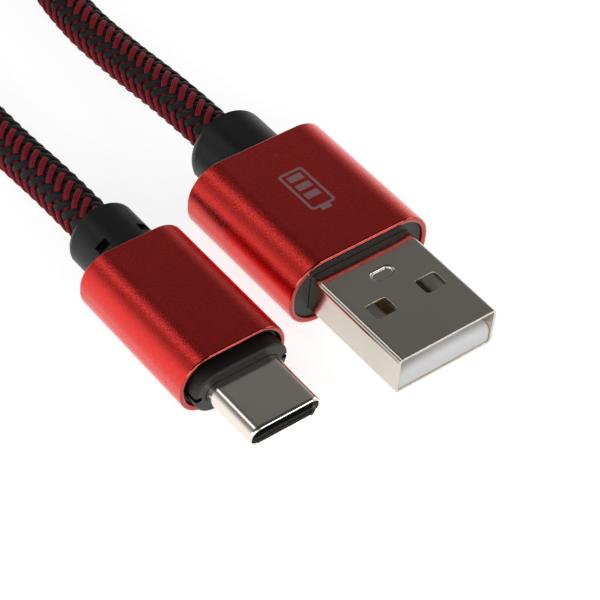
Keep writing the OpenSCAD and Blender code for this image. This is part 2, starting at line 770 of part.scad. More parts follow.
// Inner mould round the board, the joints and the cord's end
module type_c_inner_mould() {
    half = c_board_w / 2 + fit_gap;
    thick = c_board_t / 2 + fit_gap;
    color([0.16, 0.16, 0.17]) in_type_c() difference() {
        bar(c_base_end + fit_gap, c_mould_end) rounded(c_hold_w, c_hold_h, c_hold_r);
        bar(c_base_end - 1, c_shell_end + fit_gap)
            pill(c_shell_w + 2 * fit_gap, c_shell_h + 2 * fit_gap);
        block([-half, half], [-thick, thick], [c_base_end - 1, c_board_end + fit_gap]);
        type_c_resistor_body(fit_gap);
        for (x = c_pad_x)
            solder_joint(x, c_board_top, c_joint_start, c_board_end, fit_gap);
        type_c_wire_set(2 * fit_gap);
        translate([0, 0, c_jacket])
            cylinder(d = cord_d + 2 * fit_gap, h = c_mould_end - c_jacket + 1);
    }
}

// Relief with two flex slots above and two below
module type_c_strain_relief() {
    top = c_relief_h / 2;
    slot_z = c_sleeve_end + c_slot_set;
    color(BLACK) in_type_c() difference() {
        union() {
            bar(c_mould_end + fit_gap, c_sleeve_end) rounded(c_hold_w, c_hold_h, c_hold_r);
            relief_body(c_relief_w, c_relief_h, c_sleeve_end, c_len);
        }
        translate([0, 0, c_mould_end - 1])
            cylinder(d = cord_d + 2 * fit_gap, h = c_len - c_mould_end + 2);
        for (x = [-1, 1], y = [-1, 1])
            translate([x * c_slot_pitch / 2, y * top, slot_z])
                cube([c_slot_w, 2 * c_slot_depth, c_slot_l], center = true);
    }
}

// -------------------------------------------------------------------------- cord

// Route of the cord from inside the type-A relief to the coil
a_route = [
    [-7.8, 7.5, 4.0], [-13, 7.5, 4.0], [-20, 7.5, 4.0], [-27, 7.5, 3.6], [-35, 7.5, 2.7],
    [-43, 7.5, 2.4], [-51, 8.7, 2.4], [-59, 12.6, 2.4], [-67, 18.4, 2.4]
];
// Route of the cord from the coil's upper layer back into the type-C relief
c_route = [
    [-66, -20.5, 6.4], [-59, -15.8, 4.2], [-51, -12.2, 2.8], [-43, -10.4, 2.4],
    [-36, -10, 2.4], [-29, -10, 2.7], [-22, -10, 3.3], [-16, -10, 3.5], [-5.8, -10, 3.5]
];

// The coil's middle, and the angle from +X at which the cord joins it
coil_centre = [-98, -1];
join_angle = 50;
rings_per_turn = 24;

coil_pitch = cord_d + coil_gap;
coil_turns = 4 + (360 - 2 * join_angle) / 360;
coil_half = coil_turns / 2;
coil_min_r = coil_mean_r - coil_pitch * coil_half / 2;
climb = 0.25;
coil_steps = round(coil_turns * rings_per_turn);

// Centre line of the coil after t turns: in along the lower layer, out along the upper
function coil_r(t) = coil_min_r + coil_pitch * abs(t - coil_half);
function coil_rise(t) = ease(min(1, max(0, (t - coil_half + climb) / (2 * climb))));
function coil_point(t) = let (a = join_angle + 360 * t)
    [coil_centre[0] + coil_r(t) * cos(a), coil_centre[1] + coil_r(t) * sin(a),
     cord_d / 2 + coil_pitch * coil_rise(t)];

// Straight ends, one cord diameter long, square to the stretches they meet
function coil_end(t, dir) = coil_point(t)
    + dir * cord_d * [-sin(join_angle + 360 * t), cos(join_angle + 360 * t), 0];

coil_path = [
    coil_end(0, -1),
    for (i = [0:coil_steps]) coil_point(i * coil_turns / coil_steps),
    coil_end(coil_turns, 1)
];
a_path = [for (p = a_route) p, coil_path[0]];
c_path = [coil_path[len(coil_path) - 1], for (p = c_route) p];

coil_start_dir = unit(coil_path[1] - coil_path[0]);
coil_end_dir = unit(coil_path[len(coil_path) - 1] - coil_path[len(coil_path) - 2]);

module type_a_side_cord() {
    color(BRAID) tube(a_path, cord_d, 10, [0, 0, 1], [-1, 0, 0], coil_start_dir);
}

module type_c_side_cord() {
    color(BRAID) tube(c_path, cord_d, 10, [0, 0, 1], coil_end_dir, [1, 0, 0]);
}

module cord_coil() {
    color(BRAID) tube(coil_path, cord_d, 6, [0, 0, 1], coil_start_dir, coil_end_dir);
}

// Least gap between turns that are at least half a turn apart, measured on the points
function least_gap(points, skip) = min([for (i = [0:len(points) - 1 - skip])
    min([for (j = [i + skip:len(points) - 1]) norm(points[i] - points[j])])]) - cord_d;
echo(coil_least_gap = least_gap(coil_path, rings_per_turn / 2));

function path_length(path) = let (n = len(path) - 1)
    [for (i = [0:n - 1]) norm(path[i + 1] - path[i])] * [for (i = [0:n - 1]) 1];
echo(cord_length = path_length(a_path) + path_length(coil_path) + path_length(c_path));
echo(plug_ends = [a_tip_x - a_jacket, c_tip_x - c_jacket]);

type_a_sleeve();
type_a_shell();
type_a_insulator();
type_a_power_contacts();
type_a_data_contacts();
type_a_front_bezel();
type_a_inner_mould();
type_a_solder_joints();
type_a_wires();
type_a_strain_relief();
type_c_sleeve();
type_c_shell();
type_c_insulator();
type_c_upper_contacts();
type_c_lower_contacts();
type_c_latch_plate();
type_c_ground_springs();
type_c_collar();
type_c_board();
type_c_resistor();
type_c_inner_mould();
type_c_solder_joints();
type_c_wires();
type_c_strain_relief();
type_a_side_cord();
type_c_side_cord();
cord_coil();
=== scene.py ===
import math

import bmesh
import bpy
import numpy as np
from mathutils import Matrix, Vector
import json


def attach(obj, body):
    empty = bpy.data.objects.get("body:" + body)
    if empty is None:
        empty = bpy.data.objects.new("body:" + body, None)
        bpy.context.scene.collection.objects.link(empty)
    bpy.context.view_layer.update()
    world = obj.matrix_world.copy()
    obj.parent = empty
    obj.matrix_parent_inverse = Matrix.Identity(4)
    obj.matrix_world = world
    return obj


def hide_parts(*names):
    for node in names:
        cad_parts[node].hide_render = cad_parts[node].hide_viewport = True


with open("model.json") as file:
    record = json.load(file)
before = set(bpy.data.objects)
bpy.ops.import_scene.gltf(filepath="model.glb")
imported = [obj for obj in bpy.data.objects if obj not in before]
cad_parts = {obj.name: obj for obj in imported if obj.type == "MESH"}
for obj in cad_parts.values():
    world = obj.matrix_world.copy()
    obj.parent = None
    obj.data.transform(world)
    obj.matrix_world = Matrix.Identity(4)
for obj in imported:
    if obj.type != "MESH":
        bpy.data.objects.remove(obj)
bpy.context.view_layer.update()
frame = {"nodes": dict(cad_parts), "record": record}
nodes = frame["nodes"]
scene = bpy.context.scene
bpy.ops.object.select_all(action="DESELECT")

MM = 0.001

# Sizes and places are in millimetres. A_ stands for the type-A plug and C_ for the type-C
# plug. First come those that the part's source has: tips, centre lines, sleeves, shells.
A_TIP, C_TIP = 17.9, 16.1
A_Y, C_Y = 7.5, -10.0
A_Z, C_Z = 4.0, 3.5

A_SLEEVE_W, A_SLEEVE_H, A_SLEEVE_FRONT, A_SLEEVE_BACK = 17.0, 8.0, 12.9, 29.7
C_SLEEVE_W, C_SLEEVE_H, C_SLEEVE_FRONT, C_SLEEVE_BACK = 12.0, 7.0, 7.95, 24.5
A_SLEEVE_CORNER, A_SLEEVE_WALL = 3.7, 0.6
C_SLEEVE_CORNER, C_SLEEVE_WALL = 3.2, 0.55

A_SHELL_W, A_SHELL_H, A_SHELL_L = 12.0, 4.5, 18.1
A_SHELL_WALL, A_SHELL_CORNER = 0.3, 0.55
C_SHELL_W, C_SHELL_H, C_SHELL_L = 8.25, 2.4, 11.05
C_SHELL_WALL, C_SHELL_CORNER = 0.22, 1.19  # the source's corner is a full half round, 1.2
WINDOW_W, WINDOW_L, WINDOW_CORNER = 2.5, 2.0, 0.3
WINDOW_PITCH, WINDOW_SET = 6.1, 5.25
DIMPLE_DEPTH, DIMPLE_SET = 0.22, 9.75
SEAM_W = 0.08

# These are the scene's own: soft edges, the dish that makes the dimple, the rolled lip,
# how far the cutters reach, and the mark, whose bars lie inside a case with a pole
A_RIM, C_RIM = 0.22, 0.2
A_SHELL_EDGE, C_SHELL_EDGE = 0.04, 0.05
DISH_W, DISH_L, DISH_CORNER = 2.4, 1.1, 0.54
DISH_FLOOR_EDGE, DISH_TOP_EDGE = 0.14, 0.26
LIP_ROLL, LIP_TURN, LIP_STEPS = 0.45, math.radians(54), 6
CUT_LOW, CUT_HIGH = 1, 7
SEAM_BACK, SEAM_FRONT, SEAM_TOP = -2, 20, 2.15
MARK_X, MARK_L, MARK_W, MARK_T = -6.7, 5.7, 3.0, 0.012
MARK_LINE, MARK_CORNER, MARK_HOLE_CORNER = 0.3, 0.45, 0.2
POLE_L, POLE_W = 0.5, 1.2
BARS_X, BAR_L, BAR_W = (-6.05, -4.7, -3.35), 0.85, 1.7


# ------------------------------------------------------------------------ camera

def add_camera():
    at = Vector((114.195, -97.624, 153.139)) * MM
    target = Vector((4.886, 0.243, 4.0)) * MM
    data = bpy.data.cameras.new("camera")
    data.sensor_width = 36.0
    data.lens = 132.0
    data.clip_start = 0.005
    data.clip_end = 20.0
    camera = bpy.data.objects.new("camera", data)
    scene.collection.objects.link(camera)
    look = (target - at).to_track_quat("-Z", "Y").to_matrix().to_4x4()
    roll = Matrix.Rotation(math.radians(5.573), 4, "Z")
    camera.matrix_world = Matrix.Translation(at) @ look @ roll
    scene.camera = camera


# --------------------------------------------------------------------- materials

class Value:
    """A number on its way through a material: sums and products on it add Math nodes."""

    def __init__(self, paint, socket):
        self.paint = paint
        self.socket = socket

    def __add__(self, other):
        return self.paint.maths("ADD", self, other)

    def __radd__(self, other):
        return self.paint.maths("ADD", other, self)

    def __sub__(self, other):
        return self.paint.maths("SUBTRACT", self, other)

    def __mul__(self, other):
        return self.paint.maths("MULTIPLY", self, other)

    def __rmul__(self, other):
        return self.paint.maths("MULTIPLY", other, self)


class Paint:
    """A material under way, with one method that makes any node."""

    def __init__(self, name, **sockets):
        self.material = bpy.data.materials.new(name)
        self.material.use_nodes = True
        self.tree = self.material.node_tree
        self.shader = self.tree.nodes["Principled BSDF"]
        for socket, value in sockets.items():
            self.feed(socket.replace("_", " ").title().replace("Ior", "IOR"), value)

    def node(self, kind, settings=None, sockets=None, out=0):
        made = self.tree.nodes.new(kind)
        for name, value in (settings or {}).items():
            setattr(made, name, value)
        for name, value in (sockets or {}).items():
            self.join(value, made.inputs[name])
        return Value(self, made.outputs[out])

    def join(self, value, socket):
        if isinstance(value, Value):
            self.tree.links.new(value.socket, socket)
        elif hasattr(value, "__len__") and len(value) == 3 and len(socket.default_value) == 4:
            socket.default_value = (*value, 1)
        else:
            socket.default_value = value

    def feed(self, name, value):
        self.join(value, self.shader.inputs[name])

    def maths(self, operation, *values):
        return self.node("ShaderNodeMath", {"operation": operation}, dict(enumerate(values)))

    def wave(self, value):
        return self.maths("SINE", value)

    def place(self):
        return self.node("ShaderNodeTexCoord", out="Object")

    def noise(self, scale, detail=2.0, rough=0.5, at=None):
        return self.node("ShaderNodeTexNoise", {}, {
            "Vector": at or self.place(), "Scale": scale, "Detail": detail, "Roughness": rough,
        })

    def between(self, share, first, second):
        """Mix of two colours; 6 and 7 are the Mix node's colour inputs, and 2 its output."""
        return self.node("ShaderNodeMix", {"data_type": "RGBA"},
                         {"Factor": share, 6: first, 7: second}, out=2)

    def bump(self, height, strength, distance):
        self.feed("Normal", self.node("ShaderNodeBump", {}, {
            "Height": height, "Strength": strength, "Distance": distance,
        }))


def anodised(name, low, high, rough, coat_rough, grain):
    """Blasted and anodised metal, whose grain sparkles under a clear skin."""
    p = Paint(name, metallic=1.0, coat_weight=0.4, coat_roughness=coat_rough, coat_ior=1.5)
    p.feed("Base Color", p.between(p.noise(260, 3), low, high))
    p.feed("Roughness", rough + 0.3 * grain * (p.noise(5200, 2) - 0.5))
    p.bump(p.noise(9000, 1), grain, 0.000035)
    return p.material


def nickel(name, low, high, rough):
    """Plated sheet with faint streaks along the plug."""
    p = Paint(name, metallic=1.0)
    p.feed("Base Color", p.between(p.noise(200, 2), low, high))
    streaks = p.node("ShaderNodeMapping", {}, {"Vector": p.place(), "Scale": (1, 6, 6)})
    p.feed("Roughness", rough + 0.04 * p.noise(600, 3, 0.6, streaks))
    p.bump(p.noise(2500, 2, 0.5, streaks), 0.03, 0.00001)
    return p.material


def plastic(name, low, high, rough, grain, depth, shine=0.5):
    p = Paint(name, specular_ior_level=shine)
    p.feed("Base Color", p.between(p.noise(420, 3), low, high))
    p.feed("Roughness", rough + 0.12 * p.noise(1500, 2))
    p.bump(p.noise(grain, 3, 0.6), 0.5, depth)
    return p.material


def metal(name, low, high, rough):
    p = Paint(name, metallic=1.0)
    p.feed("Base Color", p.between(p.noise(900, 2), low, high))
    p.feed("Roughness", rough + 0.1 * p.noise(3000, 2))
    p.bump(p.noise(6000, 2), 0.1, 0.00001)
    return p.material


def yarn(name, low, high, rough, shine, sheen, tint):
    """Nylon yarn: ends side by side, with filaments that twist a little. About three of
    the eight ends round a yarn show."""
    ends, fibres, twist = 8, 26, 4.4
    p = Paint(name, specular_ior_level=shine, sheen_weight=sheen, sheen_roughness=0.3)
    p.feed("Sheen Tint", tint)
    run = p.node("ShaderNodeUVMap", {"uv_map": "along"})
    parts = p.node("ShaderNodeSeparateXYZ", {}, {0: run}).socket.node
    along, across = (Value(p, socket) for socket in parts.outputs[:2])
    fibre = p.wave(across * (2 * math.pi * fibres) + along * twist)
    end = p.wave(across * (2 * math.pi * ends) + math.pi / 2)
    # The end and fibre waves make the colour darker in the grooves between ends and between
    # filaments: painted shade. The noise term gives the yarn a random tone of its own.
    tone_and_groove_shade = 0.5 + 0.2 * end + 0.15 * fibre + 0.4 * (p.noise(1800, 2) - 0.5)
    p.feed("Base Color", p.between(tone_and_groove_shade, low, high))
    p.feed("Roughness", rough + 0.15 * p.noise(2500, 2))
    p.bump(end * 0.6 + fibre * 0.2 + p.noise(7000, 2) * 0.2, 0.6, 0.00005)
    return p.material


# -------------------------------------------------------------------------- cord

CORD_D = 4.8
A_ROUTE = [
    (-7.8, 7.5, 4.0), (-13, 7.5, 4.0), (-20, 7.5, 4.0), (-27, 7.5, 3.6), (-35, 7.5, 2.7),
    (-43, 7.5, 2.4), (-51, 8.7, 2.4), (-59, 12.6, 2.4), (-67, 18.4, 2.4),
]
C_ROUTE = [
    (-66, -20.5, 6.4), (-59, -15.8, 4.2), (-51, -12.2, 2.8), (-43, -10.4, 2.4),
    (-36, -10, 2.4), (-29, -10, 2.7), (-22, -10, 3.3), (-16, -10, 3.5), (-5.8, -10, 3.5),
]

# The coil's middle, the mean radius and pitch of its turns, the angle at which both
# stretches join it, its turns, and the share of a turn, each way from the middle of its
# length, in which the cord climbs to the upper layer
COIL_X, COIL_Y = -98.0, -1.0
COIL_MEAN_R, COIL_PITCH = 27.0, 5.3
COIL_JOIN = math.radians(50)
COIL_TURNS = 4 + 260 / 360
CLIMB = 0.25

# A yarn goes round once in LAY, and STEP is the distance between points of the cord's line
LAY = 11.8
STEP = LAY / 64

# Yarns of each colour, the columns that the red ones come out in, the radius at a yarn's
# middle and its sway in and out, how sharply and how much more often a red one lies on
# top, the yarns' half widths and half height, and how square their section is
YARNS, COLUMNS = 8, 4
BRAID_R, BRAID_SWAY = 2.08, 0.15
CROSS_SHARP, CROSS_LEAD = 2.2, 0.35
RED_W, BLACK_W, YARN_H = 0.335, 0.42, 0.165
YARN_SQUARE = 0.85
COLUMN_START, COLUMN_TWIST = math.radians(4), math.radians(-14)

# The jacket under the yarns, and where they start, inside the strain reliefs. Their
# mesh is finer on the stretches next to the plugs.
JACKET_R, JACKET_SIDES, JACKET_STRIDE = 1.9, 16, 10
YARNS_START, FINE_L = 8.0, 75


def coil_point(turn):
    """In along the lower layer, up, and out along the upper one."""
    angle = COIL_JOIN + 2 * math.pi * turn
    half = COIL_TURNS / 2
    r = COIL_MEAN_R - COIL_PITCH * half / 2 + COIL_PITCH * abs(turn - half)
    rise = min(1.0, max(0.0, (turn - half + CLIMB) / (2 * CLIMB)))
    lift = COIL_PITCH * rise * rise * (3 - 2 * rise)
    return (COIL_X + r * math.cos(angle), COIL_Y + r * math.sin(angle), CORD_D / 2 + lift)


def coil_end(turn, way):
    """A point one cord's diameter straight on from an end of the coil."""
    x, y, z = coil_point(turn)
    angle = COIL_JOIN + 2 * math.pi * turn
    return (x - way * CORD_D * math.sin(angle), y + way * CORD_D * math.cos(angle), z)


def smooth_line(points, step):
    """Curve through the points, as points one step apart."""
    p = np.array(points, float)
    p = np.vstack([2 * p[0] - p[1], p, 2 * p[-1] - p[-2]])
    samples = 40
    t = np.linspace(0, 1, samples, endpoint=False)[:, None]
    spans = []
    for a, b, c, d in zip(p, p[1:], p[2:], p[3:]):
        spans.append(0.5 * (2 * b + (c - a) * t + (2 * a - 5 * b + 4 * c - d) * t * t
                            + (3 * b - a - 3 * c + d) * t ** 3))
    fine = np.vstack(spans + [p[-2:-1]])
    run = np.concatenate([[0], np.cumsum(np.linalg.norm(np.diff(fine, axis=0), axis=1))])
    even = np.arange(0, run[-1], step)
    return np.stack([np.interp(even, run, fine[:, k]) for k in range(3)], axis=1)


def frames(line):
    """Up and left at each point of a line."""
    way = np.gradient(line, axis=0)
    way /= np.linalg.norm(way, axis=1, keepdims=True)
    left = np.cross((0, 0, 1), way)
    left /= np.linalg.norm(left, axis=1, keepdims=True)
    return np.cross(way, left), left


def tube_mesh(name, rings, along, tubes=1):
    """Mesh of tubes from rings of points, shaped (tubes, rings, sides, 3), in millimetres.
    Its UV map holds the way along a tube and the share of the way round it."""
    n, sides = rings.shape[1:3]
    i = np.arange(n - 1)[:, None] * sides
    k = np.arange(sides)[None, :]
    quads = np.stack([i + k, i + sides + k, i + sides + (k + 1) % sides, i + (k + 1) % sides], -1)
    quads = quads.reshape(-1, 4)
    quads = np.concatenate([quads + t * n * sides for t in range(tubes)])
    mesh = bpy.data.meshes.new(name)
    mesh.vertices.add(tubes * n * sides)
    mesh.vertices.foreach_set("co", (rings.reshape(-1) * MM).astype(np.float32))
    mesh.loops.add(len(quads) * 4)
    mesh.loops.foreach_set("vertex_index", quads.reshape(-1).astype(np.int32))
    mesh.polygons.add(len(quads))
    mesh.polygons.foreach_set("loop_start", np.arange(0, len(quads) * 4, 4, dtype=np.int32))
    mesh.polygons.foreach_set("use_smooth", np.ones(len(quads), bool))
    mesh.update(calc_edges=True)
    uv = mesh.uv_layers.new(name="along")
    corner_u = np.tile(along, tubes)[quads // sides]
    corner_v = (quads % sides) / sides
    corner_v[:, 2:][corner_v[:, 2:] == 0] = 1.0
    uv.data.foreach_set("uv", np.stack([corner_u, corner_v], -1).reshape(-1).astype(np.float32))
    made = bpy.data.objects.new(name, mesh)
    scene.collection.objects.link(made)
    return made


def close_ends(made):
    bm = bmesh.new()
    bm.from_mesh(made.data)
    bmesh.ops.holes_fill(bm, edges=[e for e in bm.edges if e.is_boundary], sides=0)
    bmesh.ops.recalc_face_normals(bm, faces=bm.faces)
    bm.to_mesh(made.data)
    bm.free()


def ring_points(centre, across, out, half_w, half_h, sides):
    turn = np.arange(sides) * 2 * np.pi / sides
    c, s = np.cos(turn), np.sin(turn)
    c = np.sign(c) * np.abs(c) ** YARN_SQUARE
    return (centre[..., None, :] + half_w * c[:, None] * across[..., None, :]
            + half_h * s[:, None] * out[..., None, :])


def braid(name, line, span, sides, hand, half_w, material):
    """The yarns of one colour over a stretch of the cord. Those that wind one way are
    red and come out in columns, and black ones wind the other way and come out between
    them."""
    up, left = (v[span] for v in frames(line))
    run = np.arange(len(line))[span] * STEP
    column = COLUMN_START + COLUMN_TWIST * run / (len(line) * STEP)
    centres, outs = [], []
    for i in range(YARNS):
        angle = -hand * 2 * np.pi * run / LAY + 2 * np.pi * i / YARNS + column
        if hand < 0:
            angle = angle + math.pi / YARNS
        over = np.tanh(CROSS_SHARP * np.cos(COLUMNS * (angle - column)) + CROSS_LEAD)
        r = BRAID_R + hand * BRAID_SWAY * over
        out = np.cos(angle)[:, None] * up + np.sin(angle)[:, None] * left
        centres.append(line[span] + r[:, None] * out)
        outs.append(out)
    centre, out = np.array(centres), np.array(outs)
    head = np.gradient(centre, axis=1)
    head /= np.linalg.norm(head, axis=2, keepdims=True)
    across = np.cross(head, out)
    across /= np.linalg.norm(across, axis=2, keepdims=True)
    rings = ring_points(centre, across, np.cross(across, head), half_w, YARN_H, sides)
    made = tube_mesh(name, rings, run, YARNS)
    close_ends(made)
    made.data.materials.append(material)
    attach(made, "root")
    return made


def add_cord():
    coil_steps = int(24 * COIL_TURNS) * 2  # about 48 to a turn
    coil = [coil_point(i * COIL_TURNS / coil_steps) for i in range(coil_steps + 1)]
    points = A_ROUTE + [coil_end(0, -1)] + coil + [coil_end(COIL_TURNS, 1)] + C_ROUTE
    line = smooth_line(points, STEP)
    red = yarn("red_yarn", (0.10, 0.002, 0.006), (0.36, 0.007, 0.020), 0.5, 0.2, 1.0,
               (1, 0.18, 0.27))
    black = yarn("black_yarn", (0.004, 0.003, 0.003), (0.015, 0.013, 0.012), 0.36, 0.18, 0.08,
                 (0.8, 0.85, 0.8))
    dark = plastic("jacket", (0.012, 0.010, 0.010), (0.02, 0.015, 0.015), 0.6, 5000, 0.00002)

    sparse = line[::JACKET_STRIDE]
    up, left = frames(sparse)
    turn = np.arange(JACKET_SIDES) * 2 * np.pi / JACKET_SIDES
    rings = sparse[:, None] + JACKET_R * (np.cos(turn)[None, :, None] * left[:, None]
                                          + np.sin(turn)[None, :, None] * up[:, None])
    core = tube_mesh("cord_jacket", rings[None], np.arange(len(sparse)) * STEP * JACKET_STRIDE)
    close_ends(core)
    core.data.materials.append(dark)
    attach(core, "root")
    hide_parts("type_a_side_cord", "cord_coil", "type_c_side_cord")

    last = len(line)
    first = int(round(YARNS_START / STEP))
    a_end = int(round(FINE_L / STEP))
    c_end = last - a_end
    middle = (a_end + c_end) // 2
    for name, span, sides in (
        ("type_a_end", slice(first, a_end + 1), 8),
        ("lower_turns", slice(a_end, middle + 1, 2), 6),
        ("upper_turns", slice(middle, c_end + 1, 2), 6),
        ("type_c_end", slice(c_end, last - first), 8),
    ):
        braid("red_yarns_" + name, line, span, sides, 1, RED_W, red)
        braid("black_yarns_" + name, line, span, sides, -1, BLACK_W, black)


# ------------------------------------------------------------------------- pieces

X, Z = 0, 2


def block(name, low, high):
    """A box between two corners, in millimetres, with its place in its mesh."""
    low, high = Vector(low) * MM, Vector(high) * MM
    bpy.ops.mesh.primitive_cube_add(size=1, location=(low + high) / 2)
    made = bpy.context.object
    made.name = made.data.name = name
    made.scale = high - low
    bpy.ops.object.transform_apply(location=True, rotation=False, scale=True)
    return made


def enter(piece):
    bpy.context.view_layer.objects.active = piece
    bpy.ops.object.mode_set(mode="EDIT")


def leave():
    bpy.ops.object.mode_set(mode="OBJECT")


def pick(piece, kind, test):
    """Select only the edges or faces that pass the test."""
    bpy.ops.mesh.select_mode(type={"edges": "EDGE", "faces": "FACE"}[kind])
    bpy.ops.mesh.select_all(action="DESELECT")
    bm = bmesh.from_edit_mesh(piece.data)
    for part in getattr(bm, kind):
        if test(part):
            part.select_set(True)
    bm.select_flush_mode()
    bmesh.update_edit_mesh(piece.data)


def modify(piece, kind, **settings):
    bpy.context.view_layer.objects.active = piece
    bpy.ops.object.modifier_add(type=kind)
    modifier = piece.modifiers[-1]
    for name, value in settings.items():
        setattr(modifier, name, value)
    bpy.ops.object.modifier_apply(modifier=modifier.name)


def along(axis):
    """A test for edges that run along one axis."""
    def test(edge):
        a, b = (v.co for v in edge.verts)
        return all(abs(a[k] - b[k]) < 1e-7 for k in range(3) if k != axis)
    return test


def both_ends(test):
    """A test for edges, from one for the place of their ends, in millimetres."""
    return lambda edge: all(test(*(c / MM for c in v.co)) for v in edge.verts)


def round_edges(piece, test, radius, steps):
    """Round the edges that pass the test."""
    enter(piece)
    pick(piece, "edges", test)
    bpy.ops.mesh.bevel(offset=radius * MM, segments=steps, affect="EDGES")
    leave()


def skin(name, middle, size, reach, corner, steps):
    """The skin of a bar along X with rounded corners, open at both ends."""
    (y, z), (w, h) = middle, size
    made = block(name, (reach[0], y - w / 2, z - h / 2), (reach[1], y + w / 2, z + h / 2))
    round_edges(made, along(X), corner, steps)
    enter(made)
    pick(made, "faces", lambda f: abs(f.normal.x) > 0.9)
    bpy.ops.mesh.delete(type="FACE")
    leave()
    return made


def thicken(piece, wall):
    """Give a skin its wall, on the inside."""
    modify(piece, "SOLIDIFY", thickness=wall * MM, offset=-1, use_even_offset=True)


def cut(piece, cutter):
    modify(piece, "BOOLEAN", object=cutter, operation="DIFFERENCE", solver="EXACT")
    bpy.data.objects.remove(cutter)


def soften(piece, width, steps=3):
    """Round the sharp edges, and shade the piece smooth with its flat faces flat."""
    modify(piece, "BEVEL", width=width * MM, segments=steps, limit_method="ANGLE",
           angle_limit=math.radians(40))
    bpy.ops.object.select_all(action="DESELECT")
    piece.select_set(True)
    bpy.ops.object.shade_smooth()
    modify(piece, "WEIGHTED_NORMAL", keep_sharp=True)


def join_part(piece, node, material):
    piece.data.materials.clear()
    piece.data.materials.append(material)
    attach(piece, "root")
    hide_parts(node)


def type_a_shell():
    """The folded shell, with its latch windows, its pressed dimple and its seam."""
    shell = skin("type_a_shell_sheet", (A_Y, A_Z), (A_SHELL_W, A_SHELL_H),
                 (A_TIP - A_SHELL_L, A_TIP), A_SHELL_CORNER, steps=6)
    thicken(shell, A_SHELL_WALL)
    for side in (-1, 1):
        y = A_Y + side * WINDOW_PITCH / 2
        window = block("window", (A_TIP - WINDOW_SET - WINDOW_L, y - WINDOW_W / 2, CUT_LOW),
                       (A_TIP - WINDOW_SET, y + WINDOW_W / 2, CUT_HIGH))
        round_edges(window, along(Z), WINDOW_CORNER, steps=4)
        cut(shell, window)

    top = A_Z + A_SHELL_H / 2
    floor = top - DIMPLE_DEPTH
    middle = A_TIP - DIMPLE_SET
    half_l, half_w = DISH_L / 2, DISH_W / 2
    dish = block("dish", (middle - half_l, A_Y - half_w, floor),
                 (middle + half_l, A_Y + half_w, CUT_HIGH))
    round_edges(dish, along(Z), DISH_CORNER, steps=12)
    round_edges(dish, both_ends(lambda x, y, z: z < floor + 0.03), DISH_FLOOR_EDGE, steps=4)
    cut(shell, dish)
    cut(shell, block("seam", (SEAM_BACK, A_Y - SEAM_W / 2, CUT_LOW),
                     (SEAM_FRONT, A_Y + SEAM_W / 2, SEAM_TOP)))
    near = 0.15
    round_edges(shell, both_ends(
        lambda x, y, z: abs(z - top) < 0.001 and abs(y - A_Y) < half_w + near
        and abs(x - middle) < half_l + near), DISH_TOP_EDGE, steps=6)
    soften(shell, A_SHELL_EDGE, steps=2)
    join_part(shell, "type_a_shell", nickel_plate)


def type_c_shell():
    """The drawn shell, whose front edge is rolled in step by step."""
    angles = [LIP_TURN * k / LIP_STEPS for k in range(LIP_STEPS + 1)]
    rim = C_TIP - LIP_ROLL * math.sin(LIP_TURN)
    shell = skin("type_c_shell_tube", (C_Y, C_Z), (C_SHELL_W, C_SHELL_H),
                 (C_TIP - C_SHELL_L, rim), C_SHELL_CORNER, steps=16)
    enter(shell)
    pick(shell, "edges", both_ends(lambda x, y, z: x > rim - 0.01))
    for before, after in zip(angles, angles[1:]):
        ahead = LIP_ROLL * (math.sin(after) - math.sin(before))
        wide, high = (
            (half - LIP_ROLL * (1 - math.cos(after))) / (half - LIP_ROLL * (1 - math.cos(before)))
            for half in (C_SHELL_W / 2, C_SHELL_H / 2))
        bpy.ops.mesh.extrude_edges_move(TRANSFORM_OT_translate={"value": (ahead * MM, 0, 0)})
        bpy.ops.transform.resize(value=(1, wide, high),
                                 center_override=(0, C_Y * MM, C_Z * MM))
    leave()
    thicken(shell, C_SHELL_WALL)
    soften(shell, C_SHELL_EDGE)
    join_part(shell, "type_c_shell", satin_nickel)


def machine_rims(sleeve, width):
    """The turned edges at both ends are smoother than the blasted outside."""
    sleeve.data.materials.append(red_rim)
    ends = [v.co.x for v in sleeve.data.vertices]
    low, high = min(ends), max(ends)
    for face in sleeve.data.polygons:
        x = face.center.x
        face.material_index = int(min(x - low, high - x) < width * MM)


def sleeves():
    """Both sleeves, with rims turned to a soft edge."""
    for node, middle, size, reach, corner, wall, rim in (
        ("type_a_sleeve", (A_Y, A_Z), (A_SLEEVE_W, A_SLEEVE_H),
         (A_TIP - A_SLEEVE_BACK, A_TIP - A_SLEEVE_FRONT), A_SLEEVE_CORNER, A_SLEEVE_WALL, A_RIM),
        ("type_c_sleeve", (C_Y, C_Z), (C_SLEEVE_W, C_SLEEVE_H),
         (C_TIP - C_SLEEVE_BACK, C_TIP - C_SLEEVE_FRONT), C_SLEEVE_CORNER, C_SLEEVE_WALL, C_RIM),
    ):
        sleeve = skin(node + "_tube", middle, size, reach, corner, steps=24)
        thicken(sleeve, wall)
        soften(sleeve, rim)
        join_part(sleeve, node, red_metal)
        machine_rims(sleeve, rim)


def charge_mark():
    """A plain battery outline with three bars, lying on the type-A sleeve."""
    top = A_Z + A_SLEEVE_H / 2

    def plate(name, x, length, width):
        return block(name, (x, A_Y - width / 2, top), (x + length, A_Y + width / 2, top + MARK_T))

    case = plate("charge_mark", MARK_X, MARK_L, MARK_W)
    round_edges(case, along(Z), MARK_CORNER, steps=6)
    hole_half = MARK_W / 2 - MARK_LINE
    hole = block("hole", (MARK_X + MARK_LINE, A_Y - hole_half, top - 1),
                 (MARK_X + MARK_L - MARK_LINE, A_Y + hole_half, top + 1))
    round_edges(hole, along(Z), MARK_HOLE_CORNER, steps=4)
    cut(case, hole)
    parts = [case, plate("pole", MARK_X + MARK_L, POLE_L, POLE_W)]
    for x in BARS_X:
        parts.append(plate("bar", x, BAR_L, BAR_W))
    bpy.ops.object.select_all(action="DESELECT")
    for part in parts:
        part.select_set(True)
    bpy.context.view_layer.objects.active = case
    bpy.ops.object.join()
    case.data.materials.clear()
    case.data.materials.append(etched)
    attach(case, "root")


